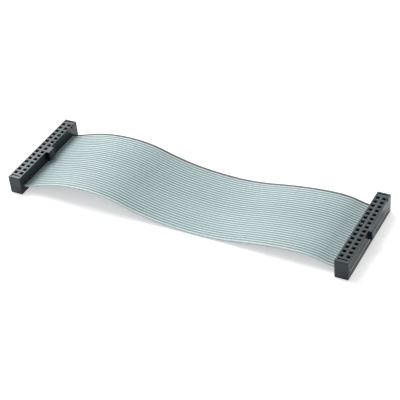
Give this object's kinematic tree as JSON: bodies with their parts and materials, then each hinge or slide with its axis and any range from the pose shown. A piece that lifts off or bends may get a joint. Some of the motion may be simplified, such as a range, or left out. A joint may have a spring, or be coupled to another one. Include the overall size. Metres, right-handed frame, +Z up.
{
  "type": "ribbon cable",
  "caption": "Short flat ribbon cable with a two-row crimped socket on each end, standing on the backs of its sockets with the mating faces up.",
  "frame": {"origin": "on the floor, in the middle of the cable's bounding box", "axes": "+X along the ribbon towards the right socket, whose and the left socket's keys face +X; +Y along the sockets towards the first way; +Z up, out of the mating faces"},
  "size_m": [0.1134, 0.0338, 0.0067],
  "materials": {
    "ribbon_pvc": "smooth grey PVC with a soft gloss, ribbed over each wire, with a dark stripe on the edge wire",
    "tinned_wire": "tinned stranded copper",
    "contact_metal": "plated copper alloy strip",
    "socket_plastic": "black moulded polyester with a fine gloss"
  },
  "bodies": {
    "root": {"conductor_01": "tinned_wire", "conductor_02": "tinned_wire", "conductor_03": "tinned_wire", "conductor_04": "tinned_wire", "conductor_05": "tinned_wire", "conductor_06": "tinned_wire", "conductor_07": "tinned_wire", "conductor_08": "tinned_wire", "conductor_09": "tinned_wire", "conductor_10": "tinned_wire", "conductor_11": "tinned_wire", "conductor_12": "tinned_wire", "conductor_13": "tinned_wire", "conductor_14": "tinned_wire", "conductor_15": "tinned_wire", "conductor_16": "tinned_wire", "conductor_17": "tinned_wire", "conductor_18": "tinned_wire", "conductor_19": "tinned_wire", "conductor_20": "tinned_wire", "conductor_21": "tinned_wire", "conductor_22": "tinned_wire", "conductor_23": "tinned_wire", "conductor_24": "tinned_wire", "conductor_25": "tinned_wire", "conductor_26": "tinned_wire", "conductor_27": "tinned_wire", "conductor_28": "tinned_wire", "conductor_29": "tinned_wire", "conductor_30": "tinned_wire", "left_socket_body": "socket_plastic", "left_socket_contacts_row_a": "contact_metal", "left_socket_contacts_row_b": "contact_metal", "left_socket_cover": "socket_plastic", "ribbon_insulation": "ribbon_pvc", "right_socket_body": "socket_plastic", "right_socket_contacts_row_a": "contact_metal", "right_socket_contacts_row_b": "contact_metal", "right_socket_cover": "socket_plastic"}
  },
  "joints": []
}
